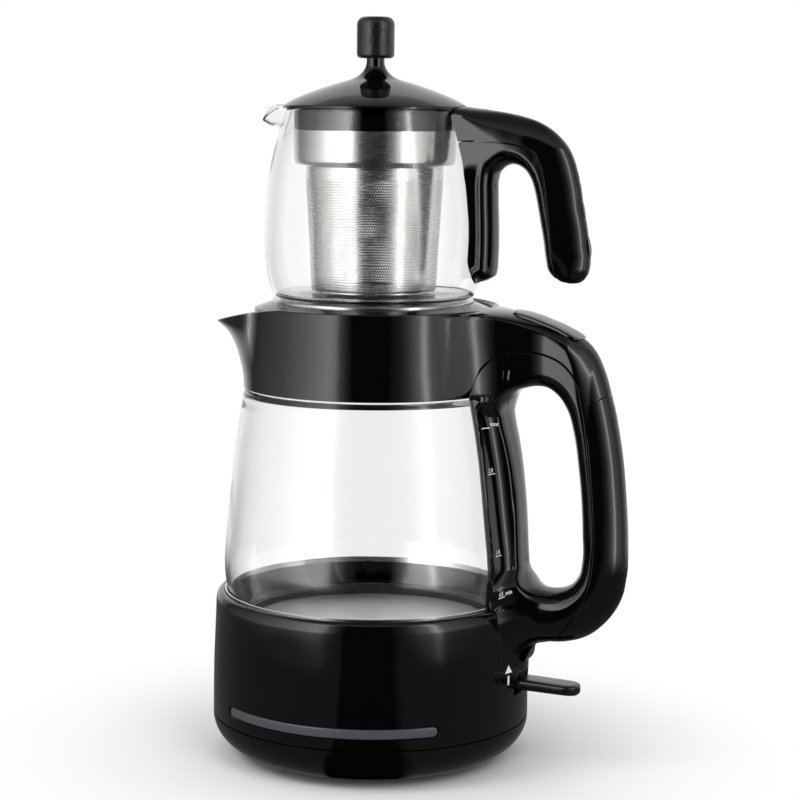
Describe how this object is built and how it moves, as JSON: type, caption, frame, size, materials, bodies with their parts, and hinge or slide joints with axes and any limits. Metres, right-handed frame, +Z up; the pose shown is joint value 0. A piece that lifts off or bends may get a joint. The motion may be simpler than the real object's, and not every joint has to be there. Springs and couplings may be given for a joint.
{
  "type": "automatic tea maker",
  "caption": "Glass kettle on a round power base, with a glass teapot and its lift-out steel filter standing on the kettle lid.",
  "frame": {"origin": "on the floor under the feet, on the vertical axis of the kettle", "axes": "+Z up, +X towards both handles and the switch lever, -X towards both spouts, +Y towards the cord inlet"},
  "size_m": [0.2584, 0.188, 0.4338],
  "materials": {
    "gloss_black": "polished black plastic",
    "satin_black": "satin black plastic",
    "silicone": "dark soft silicone",
    "steel": "satin stainless steel",
    "brass": "plated contact rings",
    "aluminium": "cast aluminium",
    "clear_glass": "clear heat-proof glass",
    "grey_diffuser": "frosted grey translucent plastic",
    "circuit_board": "green lacquered board"
  },
  "bodies": {
    "power_base": {"base_shell": "gloss_black", "base_plate": "satin_black", "base_feet": "silicone", "base_screws": "steel", "base_socket": "satin_black", "socket_contacts": "brass", "cord_gland": "satin_black"},
    "kettle": {"bottom_housing": "gloss_black", "bottom_cover": "satin_black", "cover_screws": "steel", "kettle_connector": "satin_black", "heating_plate": "steel", "diffuser_plate": "aluminium", "heating_element": "aluminium", "control_unit": "satin_black", "plate_seal": "silicone", "led_board": "circuit_board", "light_strip": "grey_diffuser", "kettle_glass": "clear_glass", "rim_trim": "steel", "collar": "gloss_black", "collar_gasket": "silicone", "button_pin": "steel", "button_spring": "steel", "handle_inner": "gloss_black", "spine_strip": "gloss_black", "handle_back_cover": "gloss_black", "screw_plugs": "gloss_black", "handle_screws": "steel", "switch_box": "satin_black", "lever_pin": "steel"},
    "switch_lever": {"switch_lever": "satin_black"},
    "release_button": {"release_button": "gloss_black"},
    "lid_latch": {"lid_latch": "satin_black"},
    "kettle_lid": {"kettle_lid": "gloss_black", "lid_plate": "steel", "lid_gasket": "silicone"},
    "teapot": {"teapot_glass": "clear_glass", "teapot_handle_upper": "gloss_black", "teapot_handle_lower": "gloss_black", "teapot_plug": "gloss_black", "teapot_screw": "steel", "handle_pad": "silicone"},
    "teapot_lid": {"teapot_lid": "gloss_black", "knob": "satin_black", "knob_screw": "steel", "lid_skirt": "gloss_black"},
    "filter": {"filter_collar": "steel", "filter_basket": "steel", "filter_bottom": "steel"}
  },
  "joints": [
    {"name": "kettle_lift", "type": "slide", "parent": "power_base", "child": "kettle", "axis": [0, 0, 1], "range_m": [0, 0.06]},
    {"name": "lid_lift", "type": "slide", "parent": "kettle", "child": "kettle_lid", "axis": [0, 0, 1], "range_m": [0, 0.06]},
    {"name": "teapot_lift", "type": "slide", "parent": "kettle_lid", "child": "teapot", "axis": [0, 0, 1], "range_m": [0, 0.06]},
    {"name": "teapot_lid_lift", "type": "slide", "parent": "teapot", "child": "teapot_lid", "axis": [0, 0, 1], "range_m": [0, 0.12]},
    {"name": "filter_twist", "type": "hinge", "parent": "teapot_lid", "child": "filter", "pos_m": [0, 0, 0.36], "axis": [0, 0, 1], "range_deg": [0, 25]},
    {"name": "lever_tilt", "type": "hinge", "parent": "kettle", "child": "switch_lever", "pos_m": [0.08, 0, 0.051], "axis": [0, -1, 0], "range_deg": [0, 12]},
    {"name": "button_rock", "type": "hinge", "parent": "kettle", "child": "release_button", "pos_m": [0.1082, 0, 0.252], "axis": [0, 1, 0], "range_deg": [0, 6], "stiffness_Nm_per_rad": 0.8, "springref_deg": -1.72, "deforming": ["button_spring"]},
    {"name": "latch_slide", "type": "slide", "parent": "kettle", "child": "lid_latch", "axis": [1, 0, 0], "range_m": [0, 0.0012]}
  ],
  "couplings": [
    {"joint": "latch_slide", "follows": "button_rock", "m_per_rad": 0.0114}
  ]
}
